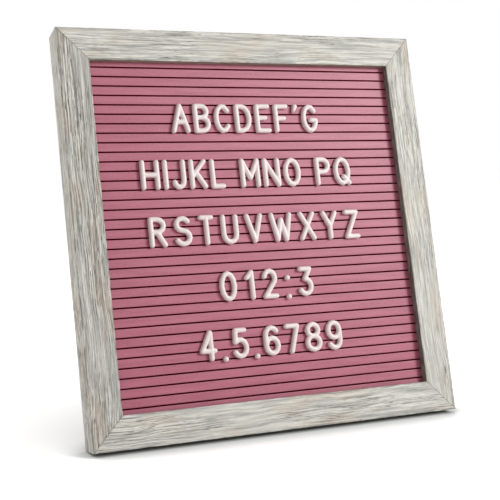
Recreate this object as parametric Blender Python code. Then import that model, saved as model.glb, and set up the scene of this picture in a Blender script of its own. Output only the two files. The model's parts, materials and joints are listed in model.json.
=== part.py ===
"""Felt letter board: a mitred wooden frame round a grooved felt panel, with push-in plastic
characters, and a wooden leg hinged to the back that props it at a lean.

The board's own axes are X to the right, Y towards the back and Z up the board, from the middle of
its front bottom edge. The empty board_frame carries them and leans the board back. The world's
origin is on the floor, at the middle of the standing board's footprint.
"""

import math

import bmesh
import bpy
from mathutils import Matrix

MM = 0.001

# Frame
BOARD = 254.0 * MM  # outside width and height of the square frame
RAIL_WIDTH = 20.0 * MM
RAIL_DEPTH = 18.0 * MM
OUTER_TAPER = 1.7 * MM  # how far the outer face leans in towards the back
REBATE_WIDTH = 6.5 * MM  # how far the panel reaches under the rails' lip
LEAN = math.radians(13.9)
FRONT_ARRIS = 1.1 * MM  # radius of the outer front edge
INNER_ARRIS = 0.8 * MM
BACK_ARRIS = 0.6 * MM

# Felt panel
FELT_RECESS = 5.1 * MM  # from the frame's front face back to the felt's face
FELT_THICKNESS = 0.8 * MM
SLOT_WIDTH = 1.0 * MM
SLOT_DEPTH = 3.4 * MM
SLOT_EDGE = 0.4 * MM  # radius at which the felt rolls into a slot
GROOVE_PITCH = 5.932 * MM
FIRST_GROOVE = 23.3 * MM  # highest groove in sight, down from the frame's top
CORE_BASE = 1.2 * MM  # solid web behind the core's channels
BACKING_THICKNESS = 2.5 * MM

# Characters
CAP_HEIGHT = 19.05 * MM
STROKE = 3.1 * MM  # width of a stroke
STROKE_WALL = 1.5 * MM  # upright part of a stroke's side
STROKE_HEIGHT = 2.8 * MM  # crown above the back
POINT_RADIUS = 1.75 * MM
APOSTROPHE_LENGTH = 3.4 * MM
APOSTROPHE_TIP = 0.75 * MM  # radius at its thin end
TAB_WIDTH = 1.8 * MM
TAB_END_CLEARANCE = 1.0 * MM  # left between a tab's tip and the slot's floor
TAB_TAPER = 0.7  # tip size over root size
ROW_SPACING = 35.5 * MM  # of the rows of characters, before each is set in its nearest grooves

# Leg and its hinge bracket
OPEN_ANGLE = math.radians(25.0)
PIVOT_HEIGHT = 170.0 * MM  # up the board
LEG_TOP_WIDTH = 25.0 * MM
LEG_FOOT_WIDTH = 34.0 * MM
LEG_THICKNESS = 8.0 * MM
HEEL_TOP = 14.0 * MM
HEEL_ROUND = 1.6 * MM
PIN_RADIUS = 1.5 * MM
PIN_CLEARANCE = 0.1 * MM
PIN_HEAD_RADIUS = 2.6 * MM
PIN_HEAD_CROWN = 2.1 * MM  # radius of its flat end
PIN_HEAD_HEIGHT = 0.9 * MM
PLATE = 1.0 * MM  # sheet thickness of the bracket
EAR_RADIUS = 5.0 * MM
EAR_CORNER = 4.0 * MM
EAR_HALF_HEIGHT = 8.0 * MM
BRACKET_ABOVE = 27.0 * MM
BRACKET_BELOW = 19.0 * MM
BRACKET_CORNER = 3.0 * MM
SCREW_RADIUS = 1.2 * MM
SCREW_HEAD_RADIUS = 2.4 * MM
SCREW_HEAD_HEIGHT = 1.1 * MM
SCREW_HEAD_SHOULDER = 0.45  # height of the head's upright side over its whole height
SCREW_HEAD_CROWN = 0.75  # radius of the head's flat top over its whole radius
SCREW_TIP_RADIUS = 0.7 * MM
SCREW_TIP_COVER = 0.4 * MM  # left of the backing board in front of a screw's tip
SCREW_SPREAD = 8.0 * MM  # of each screw from the middle line
SCREW_MARGIN = 5.5 * MM  # of each screw from the bracket's upper or lower edge
DRIVE_SLOT = 0.6 * MM
DRIVE_TURN = math.radians(25.0)  # of each screw's slot past the last one's

# Sawtooth hanger on the top rail's back
HANGER_LENGTH = 45.0 * MM
HANGER_HEIGHT = 9.0 * MM
HANGER_SHEET = 0.7 * MM
HANGER_RISE = 1.6 * MM  # of its middle off the rail
HANGER_FOOT = 8.0 * MM  # length of each flat end
HANGER_SLOPE = 2.0 * MM
TOOTH_PITCH = 3.2 * MM
TOOTH_DEPTH = 2.0 * MM
NAIL_RADIUS = 0.75 * MM
NAIL_HEAD_RADIUS = 1.8 * MM
NAIL_HEAD_HEIGHT = 0.6 * MM
NAIL_LENGTH = 9.0 * MM

# Clearances
GAP = 0.3 * MM  # between pieces that rest on each other
FIT = 0.15 * MM  # round a tab in its slot, and round screws and nails

# How finely round shapes are cut
ARC_STEP = 30.0  # degrees along a stroke
END_STEPS = 4  # facets round a stroke's end
HOLE_STEPS = 18
SMALL_STEPS = 12  # round screws and nails
SAME_PLACE = 0.001 * MM
FILLET_STEPS = 3

# What follows from those sizes
OPENING = BOARD - 2 * RAIL_WIDTH
REBATE_WALL = RAIL_WIDTH - REBATE_WIDTH  # the rebate's wall, in from the frame's outer edge
PANEL = OPENING + 2 * (REBATE_WIDTH - GAP)
LIP = FELT_RECESS - GAP
CORE_FRONT = FELT_RECESS + FELT_THICKNESS + GAP
CORE_BACK = FELT_RECESS + SLOT_DEPTH + FELT_THICKNESS + GAP + CORE_BASE
BACKING_FRONT = CORE_BACK + GAP
BACKING_BACK = BACKING_FRONT + BACKING_THICKNESS
BRACKET_FRONT = BACKING_BACK + GAP
BRACKET_BACK = BRACKET_FRONT + PLATE
TAB_THICKNESS = SLOT_WIDTH - 2 * FIT
EAR_INSIDE = LEG_TOP_WIDTH / 2 + GAP
EAR_OUTSIDE = EAR_INSIDE + PLATE
# The folded leg lies along the rails' backs. The open leg's heel is bevelled to lie on the bracket.
PIVOT_BACK = RAIL_DEPTH + GAP + LEG_THICKNESS / 2
HEEL_REACH = PIVOT_BACK - BRACKET_BACK - GAP
HEEL_START = (HEEL_REACH - LEG_THICKNESS / 2 * math.cos(OPEN_ANGLE)) / math.sin(OPEN_ANGLE)
LEG_TILT = OPEN_ANGLE - LEAN  # of the open leg from the plumb line

FINISHES = {
    "whitewashed_wood": ((0.72, 0.71, 0.67), 0.75, 0.0),
    "pink_felt": ((0.58, 0.19, 0.26), 0.95, 0.0),
    "core_plastic": ((0.20, 0.19, 0.19), 0.60, 0.0),
    "hardboard": ((0.23, 0.16, 0.11), 0.80, 0.0),
    "white_plastic": ((0.86, 0.84, 0.82), 0.40, 0.0),
    "leg_wood": ((0.70, 0.52, 0.33), 0.65, 0.0),
    "zinc_steel": ((0.62, 0.62, 0.60), 0.35, 1.0),
}


def clear_scene():
    for obj in list(bpy.data.objects):
        bpy.data.objects.remove(obj)


def material(name):
    """The named finish, made the first time that it is asked for."""
    found = bpy.data.materials.get(name)
    if found:
        return found
    colour, roughness, metallic = FINISHES[name]
    made = bpy.data.materials.new(name)
    made.use_nodes = True
    shader = made.node_tree.nodes["Principled BSDF"]
    shader.inputs["Base Color"].default_value = (*colour, 1.0)
    shader.inputs["Roughness"].default_value = roughness
    shader.inputs["Metallic"].default_value = metallic
    return made


def empty(name, parent=None, location=(0, 0, 0), turn_x=0.0):
    made = bpy.data.objects.new(name, None)
    made.parent = parent
    made.location = location
    made.rotation_euler = (turn_x, 0, 0)
    bpy.context.scene.collection.objects.link(made)
    return made


def piece(name, mesh, finish, parent, location=(0, 0, 0), turn=(0, 0, 0), smooth=None):
    """One named sub-part. smooth is the angle in degrees up to which its facets are shaded round."""
    made = bpy.data.objects.new(name, mesh)
    made.parent = parent
    made.location = location
    made.rotation_euler = turn
    if not mesh.materials:
        mesh.materials.append(material(finish))
    if smooth is not None:
        mesh.shade_smooth()
        mesh.set_sharp_from_angle(angle=math.radians(smooth))
    bpy.context.scene.collection.objects.link(made)
    return made


def mesh_from(work, name):
    """Ends a bmesh as a mesh whose faces point out."""
    bmesh.ops.recalc_face_normals(work, faces=work.faces)
    mesh = bpy.data.meshes.new(name)
    work.to_mesh(mesh)
    work.free()
    return mesh


def fillet(corners, radii, steps=FILLET_STEPS):
    """The outline through 2D corners, with an arc of its own radius at each corner."""
    outline = []
    for i, (corner, radius) in enumerate(zip(corners, radii)):
        if not radius:
            outline.append(corner)
            continue
        back = unit(corner, corners[i - 1])
        ahead = unit(corner, corners[(i + 1) % len(corners)])
        half = math.acos(max(-1.0, min(1.0, back[0] * ahead[0] + back[1] * ahead[1]))) / 2
        middle = unit((0, 0), (back[0] + ahead[0], back[1] + ahead[1]))
        centre = [corner[k] + middle[k] * radius / math.sin(half) for k in (0, 1)]
        start = bearing(centre, [corner[k] + back[k] * radius / math.tan(half) for k in (0, 1)])
        end = bearing(centre, [corner[k] + ahead[k] * radius / math.tan(half) for k in (0, 1)])
        sweep = (end - start + math.pi) % (2 * math.pi) - math.pi
        for step in range(steps + 1):
            angle = start + sweep * step / steps
            outline.append((centre[0] + radius * math.cos(angle), centre[1] + radius * math.sin(angle)))
    return outline


def unit(start, end):
    length = math.hypot(end[0] - start[0], end[1] - start[1])
    return ((end[0] - start[0]) / length, (end[1] - start[1]) / length)


def bearing(centre, point):
    return math.atan2(point[1] - centre[1], point[0] - centre[0])


def swept_outline(name, outline, left, right, fold=None):
    """A closed outline in the YZ plane carried along X. left and right give X at a point (y, z).

    Where the end faces bend, fold is the height of the outline's two points at the bend.
    """
    work = bmesh.new()
    ends = [[work.verts.new((place(y, z), y, z)) for y, z in outline] for place in (left, right)]
    for i in range(len(outline)):
        j = (i + 1) % len(outline)
        work.faces.new((ends[0][i], ends[0][j], ends[1][j], ends[1][i]))
    for loop in ends:
        work.faces.new(loop)
    if fold is not None:
        bent = [v for v in work.verts if abs(v.co.z - fold) < SAME_PLACE]
        bmesh.ops.connect_verts(work, verts=bent)
    return mesh_from(work, name)


def extruded(name, outline, half_width):
    return swept_outline(name, outline, lambda y, z: -half_width, lambda y, z: half_width)


def turned(name, profile, steps=HOLE_STEPS):
    """A solid turned round the Y axis from (radius, y) points. The first and last lie on the axis."""
    work = bmesh.new()
    poles = [work.verts.new((0, y, 0)) for _, y in (profile[0], profile[-1])]
    rings = []
    for radius, y in profile[1:-1]:
        angles = [2 * math.pi * step / steps for step in range(steps)]
        rings.append([work.verts.new((radius * math.cos(a), y, radius * math.sin(a))) for a in angles])
    for step in range(steps):
        after = (step + 1) % steps
        work.faces.new((poles[0], rings[0][step], rings[0][after]))
        work.faces.new((poles[1], rings[-1][after], rings[-1][step]))
        for near, far in zip(rings, rings[1:]):
            work.faces.new((near[step], far[step], far[after], near[after]))
    return mesh_from(work, name)


def rod(name, radius, start, end, steps=HOLE_STEPS):
    """A plain round bar along Y, for a cutter."""
    return turned(name, [(0, start), (radius, start), (radius, end), (0, end)], steps)


def plate_mesh(name, outline, start, end):
    """A closed outline in the XZ plane carried along Y."""
    work = bmesh.new()
    ends = [[work.verts.new((x, y, z)) for x, z in outline] for y in (start, end)]
    for i in range(len(outline)):
        j = (i + 1) % len(outline)
        work.faces.new((ends[0][i], ends[0][j], ends[1][j], ends[1][i]))
    for loop in ends:
        work.faces.new(loop)
    return mesh_from(work, name)


def cutter(name, mesh, parent, location=(0, 0, 0), turn=(0, 0, 0)):
    made = bpy.data.objects.new(name, mesh)
    made.parent = parent
    made.location = location
    made.rotation_euler = turn
    made.hide_render = True
    made.display_type = "WIRE"
    bpy.context.scene.collection.objects.link(made)
    return made


def combine(target, other, operation):
    boolean = target.modifiers.new(f"{operation.lower()}_{other.name}", "BOOLEAN")
    boolean.operation = operation
    boolean.object = other
    return boolean


def cut(target, other):
    return combine(target, other, "DIFFERENCE")


def box_mesh(name, size):
    work = bmesh.new()
    bmesh.ops.create_cube(work, size=1.0, matrix=Matrix.Diagonal((*size, 1.0)))
    return mesh_from(work, name)


# Frame: one mitred, rebated rail, turned in quarters round the board's middle

def rail_section():
    """The bottom rail's outline as (y, z) from the frame's front bottom edge."""
    return fillet(
        [(0, 0), (0, RAIL_WIDTH), (LIP, RAIL_WIDTH), (LIP, REBATE_WALL), (RAIL_DEPTH, REBATE_WALL),
         (RAIL_DEPTH, OUTER_TAPER)],
        [FRONT_ARRIS, INNER_ARRIS, 0, 0, 0, BACK_ARRIS],
    )


def rail_mesh():
    """The bottom rail, about the board's centre."""
    section = [(y, z - BOARD / 2) for y, z in rail_section()]
    # A mitre's face is at 45 degrees, so half of the joint's gap, measured square to it, is this along X.
    trim = GAP / 2 * math.sqrt(2)
    return swept_outline("rail", section, lambda y, z: z + trim, lambda y, z: -z - trim)


def make_frame(board):
    shared = rail_mesh()
    middle = (0, 0, BOARD / 2)
    rails = {}
    for name, quarter in (("rail_bottom", 0), ("rail_left", 1), ("rail_top", 2), ("rail_right", 3)):
        turn = (0, math.pi / 2 * quarter, 0)
        rails[name] = piece(name, shared, "whitewashed_wood", board, middle, turn, smooth=35)
    return rails


# Felt panel: a channelled core, the felt folded into it, and the backing board behind

def groove_heights():
    """Every groove on the panel, from the bottom up, with those that the rails' lip hides."""
    first = BOARD - FIRST_GROOVE
    low, high = BOARD / 2 - PANEL / 2, BOARD / 2 + PANEL / 2
    reach = SLOT_WIDTH / 2 + FELT_THICKNESS + GAP
    above = math.floor((high - reach - first) / GROOVE_PITCH)
    below = math.floor((first - low - reach) / GROOVE_PITCH)
    return [first + GROOVE_PITCH * step for step in range(-below, above + 1)]


def comb(front, floor, half_slot, edge=0.0):
    """The stepped line, from the panel's bottom to its top, of ridges at front and slots down to floor."""
    line = [(front, BOARD / 2 - PANEL / 2)]
    for z in groove_heights():
        slot = [(front, z - half_slot), (floor, z - half_slot),
                (floor, z + half_slot), (front, z + half_slot)]
        if not edge:
            line += slot
            continue
        rolled = fillet([(front, z - half_slot - edge * 2), *slot, (front, z + half_slot + edge * 2)],
                        [0, edge, 0, 0, edge, 0], steps=2)
        line += rolled[1:-1]
    return [*line, (front, BOARD / 2 + PANEL / 2)]


def make_panel(board):
    face = comb(FELT_RECESS, FELT_RECESS + SLOT_DEPTH, SLOT_WIDTH / 2, SLOT_EDGE)
    lining = comb(FELT_RECESS + FELT_THICKNESS, FELT_RECESS + SLOT_DEPTH + FELT_THICKNESS,
                  SLOT_WIDTH / 2 + FELT_THICKNESS)
    felt = extruded("felt_face", face + lining[::-1], PANEL / 2)
    piece("felt_face", felt, "pink_felt", board, smooth=50)

    ridges = comb(CORE_FRONT, CORE_BACK - CORE_BASE, SLOT_WIDTH / 2 + FELT_THICKNESS + GAP)
    low, high = ridges[0][1], ridges[-1][1]
    core = extruded("grooved_core", ridges + [(CORE_BACK, high), (CORE_BACK, low)], PANEL / 2)
    piece("grooved_core", core, "core_plastic", board)

    sheet = box_mesh("backing_board", (PANEL, BACKING_THICKNESS, PANEL))
    middle = (0, BACKING_FRONT + BACKING_THICKNESS / 2, BOARD / 2)
    return piece("backing_board", sheet, "hardboard", board, middle)


# Characters: beads of plastic with round ends, joined, with tabs on the back

def arc(centre_u, centre_v, radius_u, radius_v, start, end):
    """Points along an ellipse's arc, in degrees. Counterclockwise where end is past start."""
    steps = max(2, round(abs(end - start) / ARC_STEP))
    angles = [math.radians(start + (end - start) * step / steps) for step in range(steps + 1)]
    return [(centre_u + radius_u * math.cos(a), centre_v + radius_v * math.sin(a)) for a in angles]


def line(u0, v0, u1, v1):
    return [(u0, v0), (u1, v1)]


def loop(centre_u, centre_v, radius_u, radius_v):
    """A closed oval. Its last point repeats the first, which marks it as closed."""
    return arc(centre_u, centre_v, radius_u, radius_v, 0, 360)


STEM = line(0, 0, 0, 1)
HEAD = line(0, 1, 1, 1)
FOOT = line(0, 0, 1, 0)

# Each character: the width between its outer strokes' middles in mm, its strokes on a unit square
# that runs from the lowest to the highest stroke's middle, and where its top and bottom tabs sit
# across that square.
CHARACTERS = {
    "A": (9.7, [line(0, 0, 0.5, 1), line(1, 0, 0.5, 1), line(0.19, 0.36, 0.81, 0.36)], [0.5], [0, 1]),
    "B": (8.6, [STEM, [(0, 1), *arc(0.5, 0.77, 0.42, 0.23, 90, -90), (0, 0.54)],
                [(0, 0.54), *arc(0.5, 0.27, 0.5, 0.27, 90, -90), (0, 0)]], [0.3], [0.3]),
    "C": (8.9, [arc(0.5, 0.5, 0.5, 0.5, 38, 322)], [0.5], [0.5]),
    "D": (8.8, [STEM, [(0, 1), *arc(0.38, 0.5, 0.62, 0.5, 90, -90), (0, 0)]], [0.25], [0.25]),
    "E": (8.0, [STEM, HEAD, line(0, 0.52, 0.72, 0.52), FOOT], [0, 0.8], [0, 0.8]),
    "F": (7.9, [STEM, HEAD, line(0, 0.5, 0.74, 0.5)], [0, 0.8], [0]),
    "G": (9.1, [[*arc(0.5, 0.5, 0.5, 0.5, 38, 338), (0.98, 0.43)], line(0.98, 0.43, 0.58, 0.43)],
          [0.5], [0.5]),
    "H": (9.5, [STEM, line(1, 0, 1, 1), line(0, 0.5, 1, 0.5)], [0, 1], [0, 1]),
    "I": (0.0, [STEM], [0], [0]),
    "J": (6.6, [[(1, 1), *arc(0.5, 0.27, 0.5, 0.27, 0, -165)]], [1], [0.5]),
    "K": (8.8, [STEM, line(0, 0.38, 1, 1), line(0.32, 0.58, 1, 0)], [0, 1], [0, 1]),
    "L": (6.9, [STEM, FOOT], [0], [0, 0.8]),
    "M": (10.8, [STEM, line(0, 1, 0.5, 0.3), line(0.5, 0.3, 1, 1), line(1, 0, 1, 1)], [0, 1], [0, 1]),
    "N": (9.2, [STEM, line(0, 1, 1, 0), line(1, 0, 1, 1)], [0, 1], [0, 1]),
    "O": (9.6, [loop(0.5, 0.5, 0.5, 0.5)], [0.5], [0.5]),
    "P": (8.4, [STEM, [(0, 1), *arc(0.5, 0.74, 0.5, 0.26, 90, -90), (0, 0.48)]], [0.3], [0]),
    "Q": (9.6, [loop(0.5, 0.5, 0.5, 0.5), line(0.6, 0.27, 1, 0)], [0.5], [0.5]),
    "R": (8.6, [STEM, [(0, 1), *arc(0.48, 0.75, 0.5, 0.25, 90, -90), (0, 0.5)], line(0.45, 0.5, 1, 0)],
          [0.3], [0, 1]),
    "S": (8.9, [arc(0.5, 0.765, 0.46, 0.235, 28, 270) + arc(0.5, 0.265, 0.5, 0.265, 90, -155)[1:]],
          [0.5], [0.5]),
    "T": (7.4, [HEAD, line(0.5, 0, 0.5, 1)], [0.5], [0.5]),
    "U": (8.8, [[(0, 1), *arc(0.5, 0.3, 0.5, 0.3, 180, 360), (1, 1)]], [0, 1], [0.5]),
    "V": (9.6, [line(0, 1, 0.5, 0), line(1, 1, 0.5, 0)], [0, 1], [0.5]),
    "W": (13.2, [line(0, 1, 0.26, 0), line(0.26, 0, 0.5, 0.8), line(0.5, 0.8, 0.74, 0),
                 line(0.74, 0, 1, 1)], [0, 1], [0.26, 0.74]),
    "X": (9.0, [line(0, 0, 1, 1), line(0, 1, 1, 0)], [0, 1], [0, 1]),
    "Y": (9.0, [line(0, 1, 0.5, 0.46), line(1, 1, 0.5, 0.46), line(0.5, 0.46, 0.5, 0)], [0, 1], [0.5]),
    "Z": (8.2, [HEAD, line(1, 1, 0, 0), FOOT], [0.2, 0.8], [0.2, 0.8]),
    "0": (8.8, [loop(0.5, 0.5, 0.5, 0.5)], [0.5], [0.5]),
    "1": (3.6, [line(1, 0, 1, 1), line(0, 0.78, 1, 1)], [1], [1]),
    "2": (7.9, [[*arc(0.5, 0.72, 0.48, 0.28, 168, -32), (0, 0)], FOOT], [0.5], [0.2, 0.8]),
    "3": (8.0, [line(0.08, 1, 0.94, 1), line(0.94, 1, 0.46, 0.6), arc(0.46, 0.3, 0.52, 0.3, 90, -152)],
          [0.5], [0.46]),
    "4": (8.6, [line(0.68, 1, 0, 0.3), line(0, 0.3, 1, 0.3), line(0.72, 0, 0.72, 1)], [0.72], [0.72]),
    "5": (8.0, [line(0.9, 1, 0.12, 1), line(0.12, 1, 0.06, 0.55), arc(0.46, 0.32, 0.53, 0.32, 133, -152)],
          [0.5], [0.46]),
    "6": (8.4, [loop(0.5, 0.3, 0.5, 0.3), [(0, 0.3), *arc(0.5, 0.7, 0.5, 0.3, 180, 32)]], [0.5], [0.5]),
    "7": (7.8, [HEAD, line(1, 1, 0.35, 0)], [0.5], [0.35]),
    "8": (9.0, [loop(0.5, 0.765, 0.43, 0.235), loop(0.5, 0.27, 0.5, 0.27)], [0.5], [0.5]),
    "9": (8.2, [loop(0.5, 0.7, 0.5, 0.3), [(1, 0.7), *arc(0.5, 0.3, 0.5, 0.3, 0, -150)]], [0.5], [0.5]),
}

# The rows from the top down: what is set, its middle from the board's middle line, and the gaps
# between characters and between groups.
ROWS = [
    ("ABCDEF'G", -2.8 * MM, 2.7 * MM, 0.0),
    ("HIJKL MNO PQ", -4.8 * MM, 2.5 * MM, 11.0 * MM),
    ("RSTUVWXYZ", -3.0 * MM, 4.9 * MM, 0.0),
    ("012:3", -1.1 * MM, 5.6 * MM, 0.0),
    ("4.5.6789", -1.8 * MM, 3.6 * MM, 0.0),
]
PLAIN_NAMES = {"'": "apostrophe", ".": "full_stop", ":": "colon"}


def stroke_section(radius):
    """Half of a stroke's section, from its foot to just below the crown, as (from middle, height)."""
    rise = STROKE_HEIGHT - STROKE_WALL
    bend = math.radians(45)
    return [(radius, 0.0), (radius, STROKE_WALL),
            (radius * math.cos(bend), STROKE_WALL + rise * math.sin(bend))]


def add_column(work, at, heading, radius):
    """The section's vertices on one side of a stroke's point, out along heading."""
    return [work.verts.new((at[0] + heading[0] * out, -height, at[1] + heading[1] * out))
            for out, height in stroke_section(radius)]


def join_columns(work, near, far):
    for low in range(len(near) - 1):
        work.faces.new((near[low], near[low + 1], far[low + 1], far[low]))


def add_bead(work, path, radii):
    """One stroke: a domed strip along a path in the XZ plane, its back at Y = 0 and its crown at -Y."""
    closed = path[0] == path[-1] or math.dist(path[0], path[-1]) < 1e-6
    points = path[:-1] if closed else path
    count = len(points)
    lefts, rights, crowns = [], [], []
    for i, at in enumerate(points):
        before = points[i - 1] if closed or i else at
        after = points[(i + 1) % count] if closed or i < count - 1 else at
        inward = unit(before, at) if before != at else unit(at, after)
        onward = unit(at, after) if after != at else inward
        along = unit((0, 0), (inward[0] + onward[0], inward[1] + onward[1]))
        widen = 1 / max(0.5, along[0] * onward[0] + along[1] * onward[1])
        left = (-along[1] * widen, along[0] * widen)
        lefts.append(add_column(work, at, left, radii[i]))
        rights.append(add_column(work, at, (-left[0], -left[1]), radii[i]))
        crowns.append(work.verts.new((at[0], -STROKE_HEIGHT, at[1])))
    for i in range(count if closed else count - 1):
        j = (i + 1) % count
        join_columns(work, lefts[i], lefts[j])
        join_columns(work, rights[i], rights[j])
        work.faces.new((lefts[i][-1], crowns[i], crowns[j], lefts[j][-1]))
        work.faces.new((rights[i][-1], crowns[i], crowns[j], rights[j][-1]))
        work.faces.new((lefts[i][0], rights[i][0], rights[j][0], lefts[j][0]))
    if not closed:
        add_round_end(work, points[0], unit(points[1], points[0]), radii[0], rights[0], lefts[0], crowns[0])
        add_round_end(work, points[-1], unit(points[-2], points[-1]), radii[-1],
                      lefts[-1], rights[-1], crowns[-1])


def add_round_end(work, at, outward, radius, first, last, crown):
    """Half a dome past a stroke's last point, from the first column round to the last."""
    start = math.atan2(outward[1], outward[0]) + math.pi / 2
    columns = [first]
    for step in range(1, END_STEPS):
        angle = start - math.pi * step / END_STEPS
        columns.append(add_column(work, at, (math.cos(angle), math.sin(angle)), radius))
    columns.append(last)
    for near, far in zip(columns, columns[1:]):
        join_columns(work, near, far)
        work.faces.new((near[-1], far[-1], crown))
    work.faces.new([column[0] for column in columns])


def add_dome(work, radius):
    """A round point at the origin."""
    steps = 2 * END_STEPS + 4
    angles = [2 * math.pi * step / steps for step in range(steps)]
    columns = [add_column(work, (0, 0), (math.cos(a), math.sin(a)), radius) for a in angles]
    crown = work.verts.new((0, -STROKE_HEIGHT, 0))
    for i, column in enumerate(columns):
        after = columns[(i + 1) % steps]
        join_columns(work, column, after)
        work.faces.new((column[-1], after[-1], crown))
    work.faces.new([column[0] for column in columns])


def add_tab(work, x, z):
    """A tapered peg that reaches from inside the stroke back into the felt's slot."""
    root, tip = -STROKE_WALL / 2, GAP + SLOT_DEPTH - TAB_END_CLEARANCE
    rings = []
    for y, share in ((root, 1.0), (tip, TAB_TAPER)):
        half_x, half_z = TAB_WIDTH / 2 * share, TAB_THICKNESS / 2 * share
        rings.append([work.verts.new((x + sx * half_x, y, z + sz * half_z))
                      for sx, sz in ((-1, -1), (1, -1), (1, 1), (-1, 1))])
    near, far = rings
    for i in range(4):
        j = (i + 1) % 4
        work.faces.new((near[i], near[j], far[j], far[i]))
    for ring in rings:
        work.faces.new(ring)


def tab_spread():
    """From a character's bottom tabs up to its top tabs: as many grooves as its height covers."""
    return math.floor((CAP_HEIGHT - TAB_THICKNESS) / GROOVE_PITCH) * GROOVE_PITCH


def character_meshes(sign):
    """(strokes, tabs) of a character as two meshes, about its middle and its back."""
    strokes, tabs = bmesh.new(), bmesh.new()
    reach = tab_spread() / 2
    tall = CAP_HEIGHT - STROKE
    if sign in ".:":
        add_dome(strokes, POINT_RADIUS)
        add_tab(tabs, 0, 0)
    elif sign == "'":
        top = (APOSTROPHE_LENGTH * 0.15, tall / 2)
        tip = (-APOSTROPHE_LENGTH * 0.3, tall / 2 - APOSTROPHE_LENGTH)
        add_bead(strokes, [top, tip], [POINT_RADIUS, APOSTROPHE_TIP])
        add_tab(tabs, top[0], reach)
    else:
        width, paths, top_tabs, bottom_tabs = CHARACTERS[sign]
        width *= MM
        for path in paths:
            placed = [((u - 0.5) * width, (v - 0.5) * tall) for u, v in path]
            add_bead(strokes, placed, [STROKE / 2] * len(placed))
        for u in top_tabs:
            add_tab(tabs, (u - 0.5) * width, reach)
        for u in bottom_tabs:
            add_tab(tabs, (u - 0.5) * width, -reach)
    return mesh_from(strokes, "strokes"), mesh_from(tabs, "tabs")


def character_mesh(sign):
    """The strokes and tabs made one solid."""
    strokes, tabs = character_meshes(sign)
    body = bpy.data.objects.new("strokes", strokes)
    pegs = bpy.data.objects.new("pegs", tabs)
    for obj in (body, pegs):
        bpy.context.scene.collection.objects.link(obj)
    combine(body, pegs, "UNION").use_self = True
    bpy.context.view_layer.update()
    joined = bpy.data.meshes.new_from_object(body.evaluated_get(bpy.context.evaluated_depsgraph_get()))
    for obj in (body, pegs):
        bpy.data.objects.remove(obj)
    return joined


def character_width(sign):
    if sign in ".:":
        return 2 * POINT_RADIUS
    if sign == "'":
        return 2 * POINT_RADIUS + APOSTROPHE_LENGTH * 0.2
    return CHARACTERS[sign][0] * MM + STROKE


def character_name(sign, taken):
    """A name of its own, such as letter_A or full_stop_2."""
    if sign not in PLAIN_NAMES:
        return f"digit_{sign}" if sign.isdigit() else f"letter_{sign}"
    taken[sign] = taken.get(sign, 0) + 1
    return f"{PLAIN_NAMES[sign]}_{taken[sign]}"


def lowest_groove(row):
    """The height of the groove that holds the bottom tabs of a row. The rows are about the middle."""
    wanted = BOARD / 2 + ((len(ROWS) - 1) / 2 - row) * ROW_SPACING - tab_spread() / 2
    return min(groove_heights(), key=lambda z: abs(z - wanted))


def set_row(board, row, taken):
    """Pushes one row of characters into the felt, spaced evenly about its middle."""
    text, middle, gap, group_gap = ROWS[row]
    widths = [group_gap - 2 * gap if sign == " " else character_width(sign) for sign in text]
    x = middle - (sum(widths) + gap * (len(text) - 1)) / 2
    bottom = lowest_groove(row)
    back = FELT_RECESS - GAP
    for sign, width in zip(text, widths):
        x += width / 2
        # A point stands on its own groove. A colon is two points, two grooves apart.
        heights = {" ": [], ".": [bottom], ":": [bottom + 2 * GROOVE_PITCH, bottom]}
        for z in heights.get(sign, [bottom + tab_spread() / 2]):
            name = character_name(sign, taken)
            piece(name, character_mesh(sign), "white_plastic", board, (x, back, z), smooth=50)
        x += width / 2 + gap


def make_characters(board):
    taken = {}
    for row in range(len(ROWS)):
        set_row(board, row, taken)


# Leg, bracket and pin

def make_bracket(board, backing):
    """A folded plate: a base screwed to the backing board, with an ear up each side for the pin."""
    outline = fillet(
        [(-EAR_OUTSIDE, -BRACKET_BELOW), (EAR_OUTSIDE, -BRACKET_BELOW),
         (EAR_OUTSIDE, BRACKET_ABOVE), (-EAR_OUTSIDE, BRACKET_ABOVE)],
        [BRACKET_CORNER] * 4,
    )
    place = (0, BRACKET_FRONT, PIVOT_HEIGHT)
    base = plate_mesh("hinge_bracket", outline, 0, PLATE)
    bracket = piece("hinge_bracket", base, "zinc_steel", board, place)

    pin_back = PIVOT_BACK - BRACKET_FRONT
    ear_outline = fillet(
        [(PLATE / 2, -EAR_HALF_HEIGHT), (PLATE / 2, EAR_HALF_HEIGHT),
         (pin_back + EAR_RADIUS, EAR_RADIUS), (pin_back + EAR_RADIUS, -EAR_RADIUS)],
        [0, 0, EAR_CORNER, EAR_CORNER], steps=4,
    )
    for name, side in (("ear_left", -1), ("ear_right", 1)):
        inside, outside = side * EAR_INSIDE, side * EAR_OUTSIDE
        ear = swept_outline("ear", ear_outline, lambda y, z: inside, lambda y, z: outside)
        combine(bracket, cutter(name, ear, board, place), "UNION")

    hole = rod("pin_hole", PIN_RADIUS + PIN_CLEARANCE, -2 * EAR_OUTSIDE, 2 * EAR_OUTSIDE)
    pin_place = (0, PIVOT_BACK, PIVOT_HEIGHT)
    cut(bracket, cutter("bracket_pin_hole", hole, board, pin_place, (0, 0, math.pi / 2)))
    make_screws(board, bracket, backing)


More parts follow.
